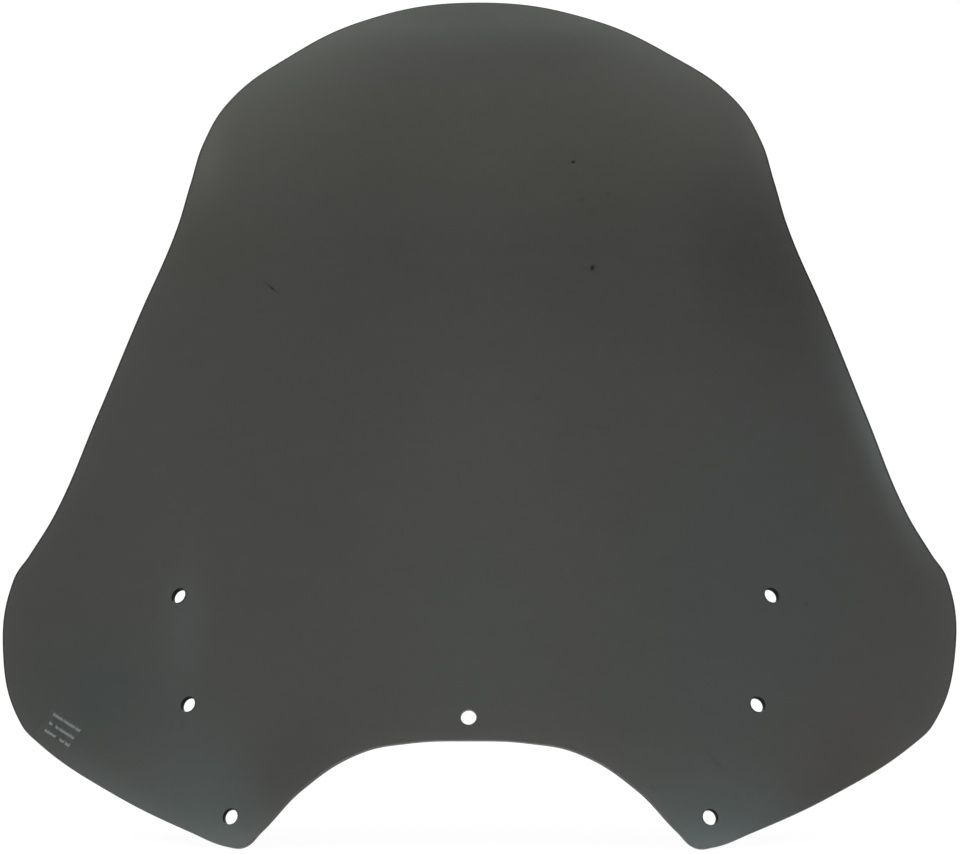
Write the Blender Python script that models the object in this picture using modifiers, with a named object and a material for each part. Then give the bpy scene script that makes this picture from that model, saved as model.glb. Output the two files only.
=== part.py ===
"""Tinted windshield screen for a motorcycle or scooter, with its small clear approval label.

One acrylic sheet, blanked to shape, drilled with seven screw holes and then bowed: it leans back, bulges
forward in the middle, and its two cheeks flare out at the bottom. The outer face looks towards -Y, and
+X is on the right of someone who looks at that face. Metres, +Z up.
"""

import math

import bmesh
import bpy
from mathutils import Vector, geometry

# The sheet
SHEET = 0.004  # thickness of the acrylic
CELL = 0.020  # spacing of the sheet's inner mesh points
RIM_STEPS = 5  # straight steps between two rim points

# Right half of the rim on the outer face, (x, z) from the middle of the top edge to the middle of the arch
HALF_RIM = (
    (0.0, 0.6135),  # top edge
    (0.0865, 0.6025),
    (0.1425, 0.5805),
    (0.194, 0.548),  # shoulder
    (0.214, 0.518),
    (0.2245, 0.485),
    (0.2345, 0.4505),  # waist
    (0.263, 0.3825),  # straight flank
    (0.2925, 0.306),
    (0.3205, 0.234),
    (0.3385, 0.203),  # top of the cheek
    (0.350, 0.1845),
    (0.353, 0.1285),
    (0.335, 0.0815),
    (0.320, 0.068),  # lower edge of the cheek
    (0.2625, 0.036),
    (0.1995, 0.0105),
    (0.173, 0.002),  # bottom tip
    (0.1605, 0.002),
    (0.1475, 0.0135),
    (0.119, 0.043),  # side of the arch
    (0.078, 0.069),
    (0.0435, 0.0765),
    (0.0, 0.0785),  # crown of the arch
)

# The seven screw holes, as (x, z) of their centres on the outer face
HOLE_R = 0.0055
HOLE_SIDES = 20
SEAT_R = 0.012  # the sheet is left flat this far round each hole, for a washer
SEAT_SIDES = 12
CENTRE_Z = 0.0945
SIDE_HOLES = ((0.2165, 0.1755), (0.205, 0.099), (0.170, 0.0225))

# The bow: depth of the outer face behind the centre hole, from the height h above that hole and from x,
# is LEAN . (h, h^2, h^3) + BOW . (1, h) * x^2 / (1 + FLARE * x^2)
CENTRE_Y = -0.1362
LEAN = (0.36, 0.5, -1.1)
BOW = (1.9, 3.0)
FLARE = 5.5

# The approval label, a clear film stuck on the left cheek
LABEL_AT = (-0.3035, 0.077)
LABEL_SIZE = (0.034, 0.022)
LABEL_TURN = math.radians(-25)
LABEL_CELLS = (6, 4)
LABEL_FILM = 0.0002
LABEL_GAP = 0.0004  # its adhesive, left as a gap


def clear_scene():
    for obj in list(bpy.data.objects):
        bpy.data.objects.remove(obj)


def make_collection(name):
    made = bpy.data.collections.new(name)
    bpy.context.scene.collection.children.link(made)
    return made


def make_material(name, colour, roughness, transmission, ior):
    material = bpy.data.materials.new(name)
    material.use_nodes = True
    shader = material.node_tree.nodes["Principled BSDF"]
    shader.inputs["Base Color"].default_value = (*colour, 1.0)
    shader.inputs["Roughness"].default_value = roughness
    shader.inputs["Metallic"].default_value = 0.0
    shader.inputs["Transmission Weight"].default_value = transmission
    shader.inputs["IOR"].default_value = ior
    material.diffuse_color = (*colour, 1.0)
    return material


def outer_face(x, z):
    """The point of the bowed outer face at (x, z)."""
    h = z - CENTRE_Z
    lean = LEAN[0] * h + LEAN[1] * h**2 + LEAN[2] * h**3
    bow = BOW[0] + BOW[1] * h
    return Vector((x, CENTRE_Y + lean + bow * x**2 / (1 + FLARE * x**2), z))


def outward(x, z):
    """The unit normal of the outer face, pointing out of the sheet."""
    step = 0.0005
    across = outer_face(x + step, z) - outer_face(x - step, z)
    upward = outer_face(x, z + step) - outer_face(x, z - step)
    return across.cross(upward).normalized()


def tangent_frame(x, z, turn=0.0):
    """The outer face's point at (x, z) with two unit directions along it, the first turned from level."""
    normal = outward(x, z)
    level = normal.cross(Vector((0, 0, 1))).normalized() * -1
    rise = normal.cross(level)
    along = level * math.cos(turn) + rise * math.sin(turn)
    return outer_face(x, z), along, normal.cross(along)


def ring(x, z, radius, sides):
    """Points of a circle round (x, z), in the plane that touches the outer face there."""
    centre, along, across = tangent_frame(x, z)
    turns = [2 * math.pi * k / sides for k in range(sides)]
    return [centre + radius * (math.cos(a) * along + math.sin(a) * across) for a in turns]


def rim_points():
    """The closed rim as (x, z), smoothed through HALF_RIM and its mirror image by a Bezier curve."""
    left_half = [(-x, z) for x, z in reversed(HALF_RIM[1:-1])]
    corners = list(HALF_RIM) + left_half
    curve = bpy.data.curves.new("rim", "CURVE")
    curve.dimensions = "2D"
    curve.fill_mode = "NONE"
    curve.resolution_u = RIM_STEPS
    spline = curve.splines.new("BEZIER")
    spline.bezier_points.add(len(corners) - 1)
    spline.use_cyclic_u = True
    for point, (x, z) in zip(spline.bezier_points, corners):
        point.co = (x, z, 0)
        point.handle_left_type = "AUTO"
        point.handle_right_type = "AUTO"
    guide = bpy.data.objects.new("rim", curve)
    bpy.context.scene.collection.objects.link(guide)
    graph = bpy.context.evaluated_depsgraph_get()
    mesh = bpy.data.meshes.new_from_object(guide.evaluated_get(graph))
    points = [(v.co.x, v.co.y) for v in mesh.vertices]
    bpy.data.meshes.remove(mesh)
    bpy.data.objects.remove(guide)
    return points


def inside(x, z, loop):
    """True if (x, z) is inside the closed loop: a line to the right crosses it an odd number of times."""
    crossed = False
    for (x1, z1), (x2, z2) in zip(loop, loop[1:] + loop[:1]):
        if (z1 > z) != (z2 > z) and x < x1 + (x2 - x1) * (z - z1) / (z2 - z1):
            crossed = not crossed
    return crossed


def inner_points(rim, holes):
    """A triangular grid that fills the rim and keeps clear of it and of the washer seats."""
    top = max(z for _, z in rim)
    wide = max(x for x, _ in rim)
    row_height = CELL * math.sqrt(3) / 2
    kept = []
    for row in range(int(top / row_height) + 1):
        z = row * row_height
        shift = CELL / 2 if row % 2 else 0.0
        for column in range(-int(wide / CELL) - 1, int(wide / CELL) + 2):
            x = column * CELL + shift
            near_rim = min(math.hypot(x - a, z - b) for a, b in rim) < 0.55 * CELL
            near_hole = min(math.hypot(x - a, z - b) for a, b in holes) < SEAT_R + 0.45 * CELL
            if not near_rim and not near_hole and inside(x, z, rim):
                kept.append(outer_face(x, z))
    return kept


def make_screen():
    """The sheet: its outer face is triangulated between rim, seats and holes, then given its thickness."""
    rim = rim_points()
    holes = [(0.0, CENTRE_Z)]
    for x, z in SIDE_HOLES:
        holes += [(x, z), (-x, z)]
    points = []
    loops = []

    def add_loop(ring_of_points):
        first = len(points)
        points.extend(ring_of_points)
        loops.append(list(range(first, len(points))))

    add_loop([outer_face(x, z) for x, z in rim])
    for x, z in holes:
        add_loop(ring(x, z, HOLE_R, HOLE_SIDES))
        add_loop(ring(x, z, SEAT_R, SEAT_SIDES))
    points.extend(inner_points(rim, holes))

    flat = [Vector((p.x, p.z)) for p in points]
    edges = [(a, b) for loop in loops for a, b in zip(loop, loop[1:] + loop[:1])]
    _, _, triangles, origins, _, _ = geometry.delaunay_2d_cdt(flat, edges, [loops[0]], 1, 1e-7)
    source = [ids[0] for ids in origins]
    hole_rings = [set(loop) for loop in loops[1::2]]

    body = bmesh.new()
    corners = [body.verts.new(p) for p in points]
    for triangle in triangles:
        ids = [source[i] for i in triangle]
        if not any(hole.issuperset(ids) for hole in hole_rings):
            body.faces.new([corners[i] for i in ids])
    for face in body.faces:
        if face.normal.y > 0:
            face.normal_flip()
    body.normal_update()
    mesh = bpy.data.meshes.new("screen")
    body.to_mesh(mesh)
    body.free()
    mesh.shade_smooth()
    screen = bpy.data.objects.new("screen", mesh)
    add_thickness(screen, SHEET, -1.0)
    return screen


def make_label(screen):
    """A small film that follows the left cheek, just off its outer face."""
    centre, along, across = tangent_frame(*LABEL_AT, LABEL_TURN)
    columns, rows = LABEL_CELLS
    mesh = bpy.data.meshes.new("approval_label")
    film = bmesh.new()
    bmesh.ops.create_grid(film, x_segments=columns, y_segments=rows, size=0.5)
    for vert in film.verts:
        flat = centre + along * vert.co.x * LABEL_SIZE[0] + across * vert.co.y * LABEL_SIZE[1]
        on_sheet = outer_face(flat.x, flat.z) + outward(flat.x, flat.z) * LABEL_GAP
        vert.co = on_sheet - centre
    film.normal_update()
    film.to_mesh(mesh)
    film.free()
    label = bpy.data.objects.new("approval_label", mesh)
    label.location = centre
    label.parent = screen
    add_thickness(label, LABEL_FILM, 1.0)
    return label


def add_thickness(obj, thickness, offset):
    solid = obj.modifiers.new("thickness", "SOLIDIFY")
    solid.thickness = thickness
    solid.offset = offset
    solid.use_even_offset = True


def main():
    clear_scene()
    parts = make_collection("windshield_screen")
    screen = make_screen()
    label = make_label(screen)
    screen.data.materials.append(make_material("smoke_acrylic", (0.065, 0.065, 0.062), 0.04, 0.9, 1.49))
    label.data.materials.append(make_material("clear_film", (0.75, 0.78, 0.78), 0.2, 0.9, 1.46))
    parts.objects.link(screen)
    parts.objects.link(label)


main()
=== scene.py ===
import math

import bmesh
import bpy
import numpy as np
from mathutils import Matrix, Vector, geometry, kdtree


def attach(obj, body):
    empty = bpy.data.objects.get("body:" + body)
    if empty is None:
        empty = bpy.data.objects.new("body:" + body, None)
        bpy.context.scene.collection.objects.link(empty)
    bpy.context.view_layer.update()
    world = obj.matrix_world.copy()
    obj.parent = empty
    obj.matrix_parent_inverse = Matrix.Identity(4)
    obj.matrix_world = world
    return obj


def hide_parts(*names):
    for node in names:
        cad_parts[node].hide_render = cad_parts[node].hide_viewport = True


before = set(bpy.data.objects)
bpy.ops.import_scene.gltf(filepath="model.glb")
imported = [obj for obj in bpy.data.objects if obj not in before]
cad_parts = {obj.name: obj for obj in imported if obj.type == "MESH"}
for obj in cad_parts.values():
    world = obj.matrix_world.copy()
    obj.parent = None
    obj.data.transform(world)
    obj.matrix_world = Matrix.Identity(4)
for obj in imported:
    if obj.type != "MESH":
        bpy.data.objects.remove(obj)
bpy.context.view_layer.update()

# ---------------------------------------------------------------- the part's own dimensions, in metres

SHEET = 0.004
# the right half of the outline as x and z, from the top edge round to the arch; the left half mirrors it.
# The points were fitted to the outline in the photo by least squares and rounded to 0.5 mm.
# The places of the holes below come from the same fit.
HALF_RIM = (
    (0.0, 0.6135),  # top edge
    (0.0865, 0.6025),
    (0.1425, 0.5805),
    (0.194, 0.548),  # shoulder
    (0.214, 0.518),
    (0.2245, 0.485),
    (0.2345, 0.4505),  # waist
    (0.263, 0.3825),  # straight flank
    (0.2925, 0.306),
    (0.3205, 0.234),
    (0.3385, 0.203),  # top of the cheek
    (0.350, 0.1845),
    (0.353, 0.1285),
    (0.335, 0.0815),
    (0.320, 0.068),  # lower edge of the cheek
    (0.2625, 0.036),
    (0.1995, 0.0105),
    (0.173, 0.002),  # bottom tip
    (0.1605, 0.002),
    (0.1475, 0.0135),
    (0.119, 0.043),  # side of the arch
    (0.078, 0.069),
    (0.0435, 0.0765),
    (0.0, 0.0785),  # crown of the arch
)
HOLE_R = 0.0055
CENTRE_Z = 0.0945  # height of the centre hole
SIDE_HOLES = ((0.2165, 0.1755), (0.205, 0.099), (0.170, 0.0225))  # x and z, mirrored on the left
CENTRE_Y = -0.1362  # depth of the outer face at the centre hole
LEAN = (0.36, 0.5, -1.1)  # how the middle line leans back: terms in height, its square and its cube
BOW = (1.9, 3.0)  # how much the sides sweep back, and how that grows with height
FLARE = 5.5  # how much the cheeks flatten out again

# the fine mesh
CELL = 0.0075  # side of a mesh triangle
RIM_STEPS = 14  # rim points for each point of the outline
HOLE_SIDES = 48
COLLAR = 0.0022  # width of the ring of triangles round a hole
LOOP_CLEARANCE = 0.6 * CELL  # no loose mesh points nearer than this to a point of the rim or of a ring
HOLE_CLEARANCE = 0.004  # no loose mesh points nearer than this to the edge of a hole
MERGE = 1e-7  # points nearer than this to each other are one
EDGE_ROUND = 0.0005  # radius of the rounded edges
SHARP = math.radians(50)  # an edge that turns more than this is rounded

# the label
LABEL_AT = (-0.3035, 0.077)
LABEL_SIZE = (0.034, 0.022)
LABEL_CORNER = 0.0012
LABEL_TURN = math.radians(-25)
LABEL_LIFT = 0.00008
LABEL_FILM = 0.00012
PRINT_LIFT = LABEL_LIFT + LABEL_FILM
PRINT_FILM = 0.00004
# each word is a row of dashes, every third one as high as the row, the others lower
ROW_HEIGHT = 0.0024
TALL_EVERY = 3
LOW_DASH = 0.0017
DASH = 0.0006
DASH_CORNER = 0.00025
DASH_PITCH = 0.0012
ROW_MIDDLES = (0.0080, 0.0012, -0.0051)
# where the words of each row start and end
LABEL_WORDS = (
    ((-0.0131, -0.0025), (-0.0012, 0.0107), (0.0119, 0.0162)),
    ((-0.0117, -0.0077), (-0.0048, -0.0015), (-0.0003, 0.0112), (0.0121, 0.0162)),
    ((-0.0114, 0.0007), (0.0052, 0.0103), (0.0113, 0.0164)),
)

# the camera, with angles in degrees; its turn and roll come from the fit of the outline
CAMERA_AZIMUTH = 2.127
CAMERA_DISTANCE = 3.0
CAMERA_AIM = (0.0085, -0.1358, 0.2983)
CAMERA_ROLL = 0.124
CAMERA_LENS = 160.0
CAMERA_REACH = 200.0

# the light
SURROUND = 1.08  # radiance of everything white behind the sheet
SKY = 1.0
FLOOR_ALBEDO = 0.18
FLOOR_SIZE = 120
FLOOR_GAP = 0.0005  # under the tips of the sheet
# the light tent: heights are shares of its radius, and angles are from the front, in degrees.
# The glow, the box and the flag were fitted to the greys of the photo by least squares and rounded.
# The fit put the box 3.7 degrees to one side, and it was centred.
TENT_RADIUS = 2.6
LOW_GLOW = (0.72, 0.83, 0.73)  # glow near the floor
LOW_LEVEL = 0.377  # it is even up to this height
LOW_CENTRE = 0.4
LOW_FALL = 0.094
SIDE_GAIN = 0.91  # how much stronger it is at the sides
SIDE_LIMIT = 1.1  # where that stops growing, in quarter turns from the front
BOX_GLOW = (0.40, 0.52, 0.435)  # a soft box high in front
BOX_HEIGHT = 0.682
BOX_HALF_HEIGHT = 0.272
BOX_HALF_WIDTH = 84
FLAG_SHADE = (-0.28, -0.25, -0.23)  # a dark flag at the right
FLAG_AZIMUTH = 92
FLAG_HALF_WIDTH = 11
FLAG_HEIGHT = 0.584
FLAG_HALF_HEIGHT = 0.054
HORIZON_BLEND = 0.13  # how high above the floor the tent fades to the white of the floor

# the tint of the acrylic, whose colour balance started from the fit of the tent
TINT = (0.0487, 0.0470, 0.0456)
RIM_PAINTED_HIGHLIGHT = 0.20  # painted highlight along the rim: how much lighter the tint is made there, and how far in that reaches
RIM_PAINTED_HIGHLIGHT_DEPTH = 0.008
GRAIN = 0.50  # fine mottle of the tint, and its patches to the metre
GRAIN_PATCHES = 450
STREAKS = 0.12  # broader level streaks
STREAK_PATCHES = 24
STREAK_SHAPE = (1, 1, 5)  # five times as wide as high
WIPE_PATCHES = 9  # wipe marks, seen as changes of gloss
WIPE_SHAPE = (1, 1, 4)
GLOSS = (0.015, 0.055)
WAVE_PATCHES = 14  # slight waviness of the face
WAVE_DEPTH = 0.00008
ACRYLIC_IOR = 1.49
THROUGH = 1000  # depth of a soft area, so that it is the same all through the sheet
# areas of painted reflection, lighter ones painted highlights and darker ones painted shade: centre x and z,
# half width and height, turn in degrees (anticlockwise from the front), change of red, green and blue. Ten
# of them
# come from the fit of the tent: the two tips are within 0.01 of it, and the other eight were then adjusted.
PAINTED_REFLECTION_AREAS = (
    (0.0, 0.430, 0.300, 0.090, 0, (-0.18, -0.22, -0.22)),  # across the waist
    (0.0, 0.520, 0.300, 0.060, 0, (0.05, 0.03, -0.02)),  # upper part
    (-0.208, 0.505, 0.014, 0.034, -12, (0.30, 0.30, 0.26)),  # left shoulder
    (0.213, 0.518, 0.012, 0.026, 15, (0.20, 0.22, 0.20)),  # right shoulder
    (-0.205, 0.435, 0.050, 0.030, 0, (-0.04, -0.06, -0.11)),  # left waist
    (0.302, 0.280, 0.012, 0.070, 22, (0.55, 0.75, 0.78)),  # right flank
    (-0.115, 0.425, 0.080, 0.070, 0, (0.06, 0.08, 0.08)),  # left of the middle
    (0.070, 0.585, 0.045, 0.020, 0, (-0.14, -0.15, -0.14)),  # right part of the top edge
    (-0.211, 0.158, 0.018, 0.042, 0, (0.15, 0.21, 0.24)),  # by the upper left hole
    (0.200, 0.160, 0.080, 0.140, 0, (-0.08, 0.0, 0.03)),  # round the right holes
    (-0.270, 0.100, 0.060, 0.050, 0, (-0.16, -0.06, -0.07)),  # left cheek
    (-0.262, 0.036, 0.062, 0.012, -25, (0.22, 0.32, 0.34)),  # under the left cheek
    (0.260, 0.050, 0.050, 0.050, 0, (-0.04, -0.13, -0.16)),  # under the right cheek
    (0.245, 0.030, 0.040, 0.016, 25, (-0.20, -0.20, -0.17)),  # lower edge of the right cheek
    (-0.118, 0.030, 0.047, 0.050, 0, (-0.31, -0.40, -0.38)),  # left side of the arch
    (-0.190, 0.020, 0.040, 0.050, 0, (-0.04, 0.14, 0.22)),  # left tip
    (0.170, 0.005, 0.070, 0.035, 0, (0.05, 0.26, 0.37)),  # right tip
    (-0.172, 0.0, 0.040, 0.012, 0, (0.32, 0.32, 0.38)),  # lowest part of each tip
    (0.170, 0.0, 0.040, 0.012, 0, (0.32, 0.32, 0.38)),
)
# a round area of painted reflection, slightly warmer, with a clear border on the right cheek: centre x and
# z, radius, change
CHEEK_PAINTED_REFLECTION = (0.355, 0.040, 0.136, (0.03, 0.00, 0.01))
CHEEK_BORDER = 24
# specks and hairline scratches, in the same way, with one change for all three colours
MARKS = (
    (0.0717, 0.4948, 0.0014, 0.0012, 0, -1.0),  # specks
    (0.0859, 0.4154, 0.0014, 0.0018, -10, -0.9),
    (0.0470, 0.3193, 0.0014, 0.0013, 0, -0.4),
    (0.0784, 0.4663, 0.0016, 0.0014, 0, -0.3),
    (0.0969, 0.4713, 0.0012, 0.0012, 0, -0.3),
    (0.2410, 0.1679, 0.0012, 0.0014, 0, -0.4),
    (0.1288, 0.0444, 0.0012, 0.0012, 0, -0.3),
    (-0.1550, 0.4035, 0.0062, 0.0006, -38, -0.5),  # a short scratch
    (-0.1532, 0.4018, 0.0014, 0.0009, -38, -0.5),
    (0.1183, 0.1375, 0.0100, 0.0008, 12, -0.18),  # hairlines
    (0.0890, 0.2975, 0.0080, 0.0010, -5, -0.18),
    (0.1690, 0.0650, 0.0090, 0.0007, -42, -0.25),
    (0.1770, 0.0570, 0.0060, 0.0007, -42, -0.25),
    (-0.2090, 0.0840, 0.0007, 0.0028, 0, -0.35),
)


# ---------------------------------------------------------------- shape of the sheet


def outer_y(x, z):
    """Depth of the bowed outer face."""
    height = z - CENTRE_Z
    lean = LEAN[0] * height + LEAN[1] * height**2 + LEAN[2] * height**3
    return CENTRE_Y + lean + (BOW[0] + BOW[1] * height) * x**2 / (1 + FLARE * x**2)


def outer_face(x, z):
    """The point of the outer face at x and z."""
    return Vector((x, outer_y(x, z), z))


def outward(x, z):
    """The direction square to the outer face, towards the front."""
    step = 0.0005
    across = outer_face(x + step, z) - outer_face(x - step, z)
    upward = outer_face(x, z + step) - outer_face(x, z - step)
    return across.cross(upward).normalized()


def tangent_frame(x, z, turn=0.0):
    """A point of the outer face with the level and upward directions along it, turned by an angle."""
    normal = outward(x, z)
    level = Vector((0, 0, 1)).cross(normal).normalized()
    rise = normal.cross(level)
    along = level * math.cos(turn) + rise * math.sin(turn)
    return outer_face(x, z), along, normal.cross(along)


def evaluated(made):
    """An object with its modifiers or curve settings worked out."""
    return made.evaluated_get(bpy.context.evaluated_depsgraph_get())


def rim_points():
    """The whole outline as x and z, smoothed through the corner points."""
    left_half = [(-x, z) for x, z in reversed(HALF_RIM[1:-1])]
    corners = list(HALF_RIM) + left_half
    curve = bpy.data.curves.new("rim", "CURVE")
    curve.dimensions = "2D"
    curve.fill_mode = "NONE"
    curve.resolution_u = RIM_STEPS
    spline = curve.splines.new("BEZIER")
    spline.bezier_points.add(len(corners) - 1)
    spline.use_cyclic_u = True
    for point, (x, z) in zip(spline.bezier_points, corners):
        point.co = (x, z, 0)
        point.handle_left_type = "AUTO"
        point.handle_right_type = "AUTO"
    guide = bpy.data.objects.new("rim", curve)
    bpy.context.scene.collection.objects.link(guide)
    mesh = bpy.data.meshes.new_from_object(evaluated(guide))
    points = np.array([vertex.co[:2] for vertex in mesh.vertices], float)
    bpy.data.meshes.remove(mesh)
    bpy.data.objects.remove(guide)
    return points


def inside(points, loop):
    """Which of the points lie inside a closed loop."""
    crossed = np.zeros(len(points), bool)
    x, z = points.T
    for (x1, z1), (x2, z2) in zip(loop, np.roll(loop, -1, 0)):
        if z1 != z2:
            level = (z1 > z) != (z2 > z)
            crossed ^= level & (x < x1 + (x2 - x1) * (z - z1) / (z2 - z1))
    return crossed


def ring(x, z, radius, sides):
    """The x and z of a circle that lies flat on the outer face."""
    centre, along, across = tangent_frame(x, z)
    turns = [2 * math.pi * side / sides for side in range(sides)]
    around = [centre + radius * (math.cos(turn) * along + math.sin(turn) * across) for turn in turns]
    return np.array([(point.x, point.z) for point in around])


def nearest(points, others):
    """The distance from each point to the nearest of the others."""
    tree = kdtree.KDTree(len(others))
    for index, (x, z) in enumerate(others):
        tree.insert((x, z, 0), index)
    tree.balance()
    return np.array([tree.find((x, z, 0))[2] for x, z in points])


def inner_points(rim, holes):
    """A triangular grid inside the rim, away from the rim and the holes."""
    row_height = CELL * math.sqrt(3) / 2
    rows = np.arange(0, rim[:, 1].max(), row_height)
    wide = rim[:, 0].max() + CELL
    columns = np.arange(-math.ceil(wide / CELL), math.ceil(wide / CELL) + 1) * CELL
    grid = np.array([(x + row % 2 * CELL / 2, z) for row, z in enumerate(rows) for x in columns])
    grid = grid[inside(grid, rim)]
    return grid[nearest(grid, np.vstack([rim] + holes)) > LOOP_CLEARANCE]


def cut_out(rim, places):
    """Points and triangles of the flat pattern: the outline with its holes, as x and z."""
    holes = [ring(x, z, HOLE_R, HOLE_SIDES) for x, z in places]
    collars = [ring(x, z, HOLE_R + COLLAR, HOLE_SIDES // 2) for x, z in places]
    loops = [rim] + holes + collars
    grid = inner_points(rim, holes + collars)
    near_hole = [np.hypot(*(grid - place).T) < HOLE_R + HOLE_CLEARANCE for place in places]
    grid = grid[~np.any(near_hole, axis=0)]
    points = np.vstack(loops + [grid])
    edges = []
    first = 0
    for loop in loops:
        numbers = list(range(first, first + len(loop)))
        edges += list(zip(numbers, numbers[1:] + numbers[:1]))
        first += len(loop)
    flat = [Vector(point) for point in points]
    found = geometry.delaunay_2d_cdt(flat, edges, [list(range(len(rim)))], 1, MERGE)
    faces, origins = found[2:4]
    triangles = np.array([[origins[corner][0] for corner in face] for face in faces])
    middle = points[triangles].mean(1)
    in_hole = np.zeros(len(triangles), bool)
    for hole in holes:
        in_hole |= inside(middle, hole)
    return points, triangles[~in_hole]


def thicken(sheet):
    """Give the sheet its thickness and rounded edges, with the second material on the whole cut rim."""
    solid = sheet.modifiers.new("thickness", "SOLIDIFY")
    solid.thickness = SHEET
    solid.offset = -1.0
    solid.use_even_offset = True
    solid.material_offset_rim = 1
    bevel = sheet.modifiers.new("edge", "BEVEL")
    bevel.width = EDGE_ROUND
    bevel.segments = 3
    bevel.limit_method = "ANGLE"
    bevel.angle_limit = SHARP
    bevel.harden_normals = True
    bevel.material = 1
    # the third material is painted shade for the forward-facing half of the hole walls
    for material in (acrylic_material(), edge_material(), bore_shade_material()):
        sheet.data.materials.append(material)
    sheet.data = bpy.data.meshes.new_from_object(evaluated(sheet))
    sheet.modifiers.clear()


def paint_bore_shade(mesh, places):
    """Put the third material, a painted shade, on the deeper half of each hole's wall, the half that faces
    forward.
    """
    holes = [(outer_face(x, z), outward(x, z)) for x, z in places]
    for face in mesh.polygons:
        for centre, axis in holes:
            offset = face.center - centre
            across = offset - axis * offset.dot(axis)
            if face.material_index == 1 and across.length < 2 * HOLE_R and across.y > 0:
                face.material_index = 2


def make_screen():
    """The whole sheet with its holes, from the flat pattern bent to the outer face."""
    rim = rim_points()
    places = [(0.0, CENTRE_Z)] + [(side * x, z) for x, z in SIDE_HOLES for side in (1, -1)]
    points, triangles = cut_out(rim, places)
    x, z = points.T
    body = bmesh.new()
    corners = [body.verts.new(point) for point in np.stack([x, outer_y(x, z), z], 1)]
    for triangle in triangles:
        body.faces.new([corners[corner] for corner in triangle])
    body.normal_update()
    for face in body.faces:
        if face.normal.y > 0:
            face.normal_flip()
    mesh = bpy.data.meshes.new("screen_sheet")
    body.to_mesh(mesh)
    body.free()
    mesh.shade_smooth()
    glow = mesh.attributes.new("rim_distance", "FLOAT", "POINT")
    glow.data.foreach_set("value", nearest(points, rim))
    sheet = bpy.data.objects.new("screen_sheet", mesh)
    bpy.context.scene.collection.objects.link(sheet)
    thicken(sheet)
    # painted shade on the forward-facing half of each side hole's wall
    paint_bore_shade(sheet.data, places[1:])
    return sheet


# ---------------------------------------------------------------- the label


def on_label(u, v, lift):
    """The point of the sheet at (u, v) of the label's own axes, in metres, lifted off the sheet."""
    centre, along, across = tangent_frame(*LABEL_AT, LABEL_TURN)
    flat = centre + along * u + across * v
    return outer_face(flat.x, flat.z) + outward(flat.x, flat.z) * lift


def sticker(name, outlines, lift, thickness):
    """Thin closed patches that follow the sheet, one for each outline of (u, v) points."""
    body = bmesh.new()
    for outline in outlines:
        body.faces.new([body.verts.new(on_label(u, v, lift)) for u, v in outline])
    body.normal_update()
    bmesh.ops.triangulate(body, faces=body.faces)
    mesh = bpy.data.meshes.new(name)
    body.to_mesh(mesh)
    body.free()
    made = bpy.data.objects.new(name, mesh)
    bpy.context.scene.collection.objects.link(made)
    solid = made.modifiers.new("thickness", "SOLIDIFY")
    solid.thickness = thickness
    solid.offset = 1.0
    return made


def rounded(u0, v0, u1, v1, radius, steps=4):
    """The outline of a rectangle with rounded corners."""
    corners = ((u1 - radius, v1 - radius), (u0 + radius, v1 - radius))
    corners += ((u0 + radius, v0 + radius), (u1 - radius, v0 + radius))
    points = []
    for quarter, (u, v) in enumerate(corners):
        for step in range(steps + 1):
            turn = math.pi / 2 * (quarter + step / steps)
            points.append((u + radius * math.cos(turn), v + radius * math.sin(turn)))
    return points


def make_label():
    """The clear film, and its rows of printed dashes as a second thin piece on it."""
    half_u, half_v = LABEL_SIZE[0] / 2, LABEL_SIZE[1] / 2
    outline = rounded(-half_u, -half_v, half_u, half_v, LABEL_CORNER)
    film = sticker("label_film", [outline], LABEL_LIFT, LABEL_FILM)
    film.data.materials.append(film_material())
    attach(film, "root")
    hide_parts("approval_label")
    dashes = []
    for middle, words in zip(ROW_MIDDLES, LABEL_WORDS):
        low = middle - ROW_HEIGHT / 2
        for start, end in words:
            for number in range(round((end - start) / DASH_PITCH)):
                left = start + number * DASH_PITCH
                high = low + (ROW_HEIGHT if number % TALL_EVERY == 0 else LOW_DASH)
                dashes.append(rounded(left, low, left + DASH, high, DASH_CORNER))
    ink = sticker("label_print", dashes, PRINT_LIFT, PRINT_FILM)
    ink.data.materials.append(print_material())
    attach(ink, "root")


# ---------------------------------------------------------------- materials


class Nodes:
    """A short way to build a node tree: each call adds one node and returns an output."""

    def __init__(self, tree):
        self.tree = tree

    def add(self, kind, output=0, settings=(), **inputs):
        """An input goes by its name, with _ for a space, or by its number, as in i0."""
        node = self.tree.nodes.new(kind)
        for name, value in settings:
            setattr(node, name, value)
        for name, value in inputs.items():
            key = int(name[1:]) if name[0] == "i" and name[1:].isdigit() else name.replace("_", " ")
            if isinstance(value, bpy.types.NodeSocket):
                self.join(value, node.inputs[key])
            else:
                node.inputs[key].default_value = value
        return None if output is None else node.outputs[output]

    def join(self, value, socket):
        self.tree.links.new(value, socket)

    def math(self, operation, a, b=0.0, c=0.0):
        return self.add("ShaderNodeMath", 0, [("operation", operation)], i0=a, i1=b, i2=c)

    def vector(self, operation, a, b=(0, 0, 0), c=(0, 0, 0)):
        return self.add("ShaderNodeVectorMath", 0, [("operation", operation)], i0=a, i1=b, i2=c)


def new_material(name):
    """A new material, its nodes and its shader."""
    material = bpy.data.materials.new(name)
    material.use_nodes = True
    tree = material.node_tree
    shader = tree.nodes["Principled BSDF"]
    return material, Nodes(tree), shader


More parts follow.
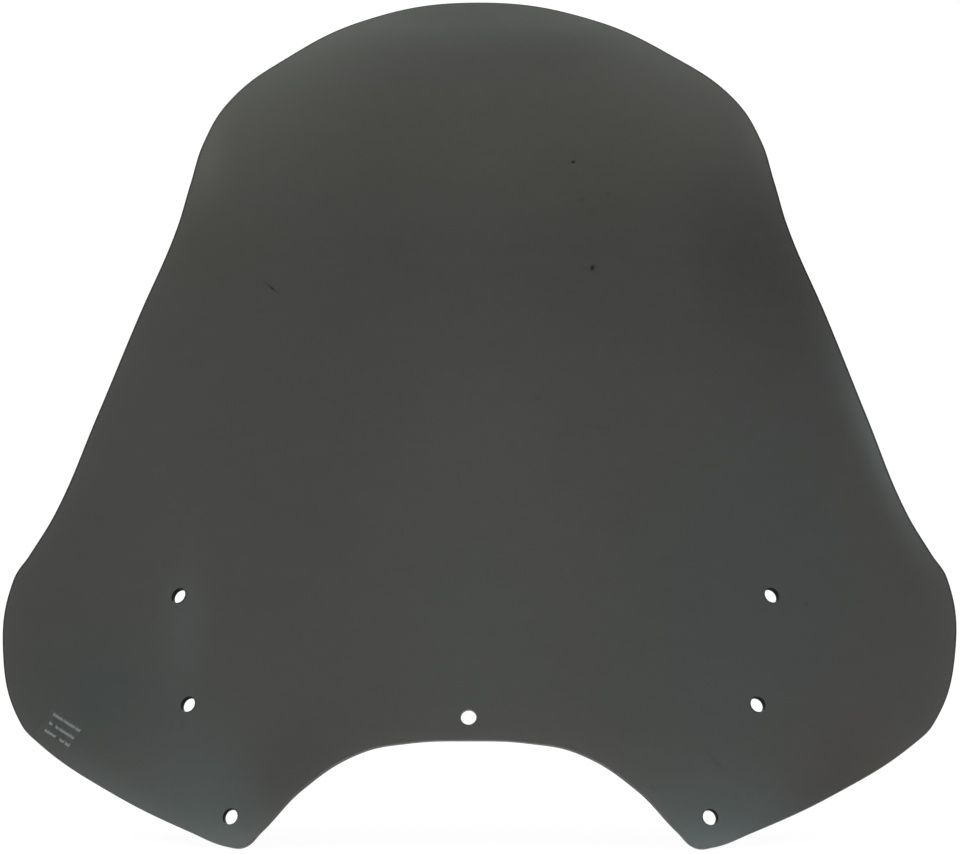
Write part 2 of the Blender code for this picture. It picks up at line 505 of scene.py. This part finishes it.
def soft_area(nodes, place, x, z, half_width, half_height, turn, border=2):
    """1 in the middle of an oval on the sheet and 0 far from it; a higher border is a sharper one."""
    mapping = nodes.tree.nodes.new("ShaderNodeMapping")
    mapping.vector_type = "TEXTURE"
    mapping.inputs["Location"].default_value = (x, 0, z)
    mapping.inputs["Rotation"].default_value = (0, -math.radians(turn), 0)
    mapping.inputs["Scale"].default_value = (half_width, THROUGH, half_height)
    nodes.join(place, mapping.inputs["Vector"])
    place_in_oval = mapping.outputs["Vector"]
    far = nodes.add("ShaderNodeVectorMath", "Value", [("operation", "LENGTH")], i0=place_in_oval)
    return nodes.math("EXPONENT", nodes.math("MULTIPLY", nodes.math("POWER", far, border), -1.0))


def noise(nodes, place, scale, detail=2.0, stretch=(1, 1, 1)):
    """A grey noise between 0 and 1 with about that many patches to the metre."""
    stretched = nodes.vector("MULTIPLY", place, stretch)
    settings = {"Vector": stretched, "Scale": scale, "Detail": detail, "Roughness": 0.6}
    return nodes.add("ShaderNodeTexNoise", "Fac", **settings)


def remap(nodes, value, low, high):
    """A value between 0 and 1 laid out between low and high."""
    return nodes.math("MULTIPLY_ADD", value, high - low, low)


def bell(nodes, value, centre, width):
    """1 where the value is at the centre, falling softly to 0 on both sides."""
    offset = nodes.math("DIVIDE", nodes.math("SUBTRACT", value, centre), width)
    return nodes.math("EXPONENT", nodes.math("MULTIPLY", nodes.math("MULTIPLY", offset, offset), -1.0))


def bumps(nodes, shader, height, distance):
    """Relief that follows a noise, up to that many metres high."""
    normal = nodes.add("ShaderNodeBump", "Normal", Strength=1.0, Distance=distance, Height=height)
    nodes.join(normal, shader.inputs["Normal"])


def acrylic_material():
    """Polished smoke acrylic: a tint with random mottle and streaks, areas of painted reflection, a painted
    highlight along the rim, specks and hairlines, faint wipe marks and a slight waviness.
    """
    material, nodes, shader = new_material("smoke_acrylic_look")
    place = nodes.add("ShaderNodeTexCoord", "Object")
    grain = noise(nodes, place, GRAIN_PATCHES)
    streaks = noise(nodes, place, STREAK_PATCHES, 3.0, STREAK_SHAPE)
    factor = nodes.math("MULTIPLY_ADD", streaks, STREAKS, nodes.math("MULTIPLY", grain, GRAIN))
    # a painted highlight along the rim: the tint is made lighter near the edge, fading inwards
    distance = nodes.add("ShaderNodeAttribute", "Fac", [("attribute_name", "rim_distance")])
    glow = nodes.math("EXPONENT", nodes.math("DIVIDE", distance, -RIM_PAINTED_HIGHLIGHT_DEPTH))
    factor = nodes.math("MULTIPLY_ADD", glow, RIM_PAINTED_HIGHLIGHT, factor)
    # the noises are 0.5 on average, which is taken off again
    factor = nodes.math("ADD", factor, 1.0 - 0.5 * (GRAIN + STREAKS))
    for x, z, half_width, half_height, turn, change in MARKS:
        mark = soft_area(nodes, place, x, z, half_width, half_height, turn)
        factor = nodes.math("MULTIPLY_ADD", mark, change, factor)
    colour = nodes.add("ShaderNodeCombineXYZ", X=factor, Y=factor, Z=factor)
    # areas of painted reflection: the lighter ones are painted highlights, the darker ones painted shade
    for x, z, half_width, half_height, turn, change in PAINTED_REFLECTION_AREAS:
        area = soft_area(nodes, place, x, z, half_width, half_height, turn)
        colour = nodes.vector("MULTIPLY_ADD", area, change, colour)
    # a round area of painted reflection with a sharp border on the right cheek
    x, z, radius, change = CHEEK_PAINTED_REFLECTION
    area = soft_area(nodes, place, x, z, radius, radius, 0, CHEEK_BORDER)
    colour = nodes.vector("MULTIPLY_ADD", area, change, colour)
    colour = nodes.vector("MULTIPLY", colour, TINT)
    nodes.join(colour, shader.inputs["Base Color"])
    wiped = noise(nodes, place, WIPE_PATCHES, 6.0, WIPE_SHAPE)
    nodes.join(remap(nodes, wiped, *GLOSS), shader.inputs["Roughness"])
    bumps(nodes, shader, noise(nodes, place, WAVE_PATCHES, 1.0), WAVE_DEPTH)
    shader.inputs["Transmission Weight"].default_value = 1.0
    shader.inputs["IOR"].default_value = ACRYLIC_IOR
    return material


def mottled(name, patches, detail, tone, roughness, relief, tint=(1.0, 1.0, 1.0)):
    """A grey look: tone and roughness follow one noise, each between two values; the relief is in metres."""
    material, nodes, shader = new_material(name)
    place = nodes.add("ShaderNodeTexCoord", "Object")
    texture = noise(nodes, place, patches, detail)
    grey = remap(nodes, texture, *tone)
    red, green, blue = (nodes.math("MULTIPLY", grey, share) for share in tint)
    colour = nodes.add("ShaderNodeCombineColor", 0, Red=red, Green=green, Blue=blue)
    nodes.join(colour, shader.inputs["Base Color"])
    nodes.join(remap(nodes, texture, *roughness), shader.inputs["Roughness"])
    bumps(nodes, shader, texture, relief)
    return material, shader


def edge_material():
    """The routed rim: as see-through as the sheet but matt, with fine tool marks."""
    material, shader = mottled(
        "acrylic_cut_edge_look",
        patches=420,
        detail=3.0,
        tone=(0.050, 0.072),
        roughness=(0.30, 0.45),
        relief=0.00004,
    )
    shader.inputs["Transmission Weight"].default_value = 1.0
    shader.inputs["IOR"].default_value = ACRYLIC_IOR
    return material


def bore_shade_material():
    """Painted shade for the dark side of a hole's wall: matt and nearly black."""
    material, shader = mottled(
        "acrylic_bore_painted_shade_look",
        patches=700,
        detail=2.0,
        tone=(0.002, 0.006),
        roughness=(0.5, 0.7),
        relief=0.00003,
    )
    shader.inputs["Specular IOR Level"].default_value = 0.08
    return material


def film_material():
    """Clear film: all but invisible, with a satin mottle of its glue."""
    material, shader = mottled(
        "clear_film_look",
        patches=900,
        detail=2.0,
        tone=(0.05, 0.11),
        roughness=(0.12, 0.28),
        relief=0.00002,
    )
    shader.inputs["Alpha"].default_value = 0.10
    return material


def print_material():
    """Pale print, a little bluish and slightly worn."""
    material, _ = mottled(
        "label_print_look",
        patches=1500,
        detail=2.0,
        tone=(0.18, 0.36),
        roughness=(0.45, 0.65),
        relief=0.00001,
        tint=(1.0, 1.10, 1.16),
    )
    return material


# ---------------------------------------------------------------- studio


def floor_material():
    """A matt floor with a glow of its own, as white as the surround."""
    material, _, shader = new_material("studio_floor_look")
    shader.inputs["Base Color"].default_value = (FLOOR_ALBEDO, FLOOR_ALBEDO, FLOOR_ALBEDO, 1)
    shader.inputs["Specular IOR Level"].default_value = 0.0
    shader.inputs["Roughness"].default_value = 1.0
    shader.inputs["Emission Color"].default_value = (1, 1, 1, 1)
    shader.inputs["Emission Strength"].default_value = SURROUND - FLOOR_ALBEDO * SKY
    material.cycles.emission_sampling = "NONE"
    return material


def make_floor():
    """A wide floor just under the tips of the sheet."""
    bpy.ops.mesh.primitive_plane_add(size=FLOOR_SIZE, location=(0, 0, -FLOOR_GAP))
    floor = bpy.context.object
    floor.name = "studio_floor"
    floor.data.materials.append(floor_material())


def make_tent():
    """A round light tent. Only mirror reflections see it: bright near the floor, darker above."""
    bpy.ops.mesh.primitive_uv_sphere_add(radius=TENT_RADIUS, segments=96, ring_count=48)
    tent = bpy.context.object
    tent.name = "studio_tent"
    tent.data.shade_smooth()
    tent.visible_camera = False
    tent.visible_diffuse = False
    tent.visible_transmission = False
    tent.visible_shadow = False
    tent.visible_volume_scatter = False
    material = bpy.data.materials.new("studio_tent_look")
    material.use_nodes = True
    nodes = Nodes(material.node_tree)
    nodes.tree.nodes.clear()
    place = nodes.add("ShaderNodeTexCoord", "Object")
    split = nodes.tree.nodes.new("ShaderNodeSeparateXYZ")
    nodes.join(place, split.inputs[0])
    x, y, z = split.outputs
    rise = nodes.math("DIVIDE", z, TENT_RADIUS)
    azimuth = nodes.math("ARCTAN2", x, nodes.math("MULTIPLY", y, -1.0))
    # the low glow fades upwards and grows towards the sides
    height = nodes.math("SUBTRACT", nodes.math("MAXIMUM", rise, LOW_LEVEL), LOW_CENTRE)
    low = nodes.math("EXPONENT", nodes.math("DIVIDE", height, -LOW_FALL))
    quarters = nodes.math("ABSOLUTE", nodes.math("DIVIDE", azimuth, math.radians(90)))
    side = nodes.math("MINIMUM", quarters, SIDE_LIMIT)
    gain = nodes.math("MULTIPLY_ADD", nodes.math("MULTIPLY", side, side), SIDE_GAIN, 1.0)
    low = nodes.math("MULTIPLY", low, gain)
    # the soft box and the dark flag
    box = bell(nodes, azimuth, 0.0, math.radians(BOX_HALF_WIDTH))
    box = nodes.math("MULTIPLY", box, bell(nodes, rise, BOX_HEIGHT, BOX_HALF_HEIGHT))
    flag = bell(nodes, azimuth, math.radians(FLAG_AZIMUTH), math.radians(FLAG_HALF_WIDTH))
    flag = nodes.math("MULTIPLY", flag, bell(nodes, rise, FLAG_HEIGHT, FLAG_HALF_HEIGHT))
    light = nodes.vector("MULTIPLY", low, LOW_GLOW)
    light = nodes.vector("MULTIPLY_ADD", box, BOX_GLOW, light)
    light = nodes.vector("MULTIPLY_ADD", flag, FLAG_SHADE, light)
    light = nodes.vector("MAXIMUM", light, (0, 0, 0))
    # near the horizon the tent is as white as the floor, so that no border shows in a reflection
    horizon = bell(nodes, rise, 0.0, HORIZON_BLEND)
    light = nodes.vector("MULTIPLY", light, nodes.math("SUBTRACT", 1.0, horizon))
    light = nodes.vector("MULTIPLY_ADD", horizon, (SURROUND, SURROUND, SURROUND), light)
    glow = nodes.add("ShaderNodeEmission", Color=light, Strength=1.0)
    nodes.add("ShaderNodeOutputMaterial", None, Surface=glow)
    material.cycles.emission_sampling = "NONE"
    tent.data.materials.append(material)


def make_world():
    """A plain white sky, a little brighter where the camera sees it straight or through the sheet."""
    world = bpy.data.worlds.new("studio")
    world.use_nodes = True
    bpy.context.scene.world = world
    nodes = Nodes(world.node_tree)
    nodes.tree.nodes.clear()
    seen = nodes.tree.nodes.new("ShaderNodeLightPath")
    direct = nodes.math("MAXIMUM", seen.outputs["Is Camera Ray"], seen.outputs["Is Transmission Ray"])
    strength = nodes.math("MULTIPLY_ADD", direct, SURROUND - SKY, SKY)
    sky = nodes.add("ShaderNodeBackground", Color=(1, 1, 1, 1), Strength=strength)
    nodes.add("ShaderNodeOutputWorld", None, Surface=sky)
    world.cycles.sampling_method = "NONE"


def make_camera():
    """A level camera in front, a little to the right."""
    azimuth = math.radians(CAMERA_AZIMUTH)
    camera = bpy.data.objects.new("camera", bpy.data.cameras.new("camera"))
    bpy.context.scene.collection.objects.link(camera)
    aim = Vector(CAMERA_AIM)
    camera.location = aim + CAMERA_DISTANCE * Vector((math.sin(azimuth), -math.cos(azimuth), 0))
    camera.rotation_euler = (math.radians(90), math.radians(CAMERA_ROLL), azimuth)
    camera.data.lens = CAMERA_LENS
    camera.data.clip_end = CAMERA_REACH
    bpy.context.scene.camera = camera


def main():
    sheet = make_screen()
    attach(sheet, "root")
    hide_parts("screen")
    make_label()
    make_floor()
    make_tent()
    make_world()
    make_camera()
    bpy.context.scene.view_settings.view_transform = "Standard"


main()
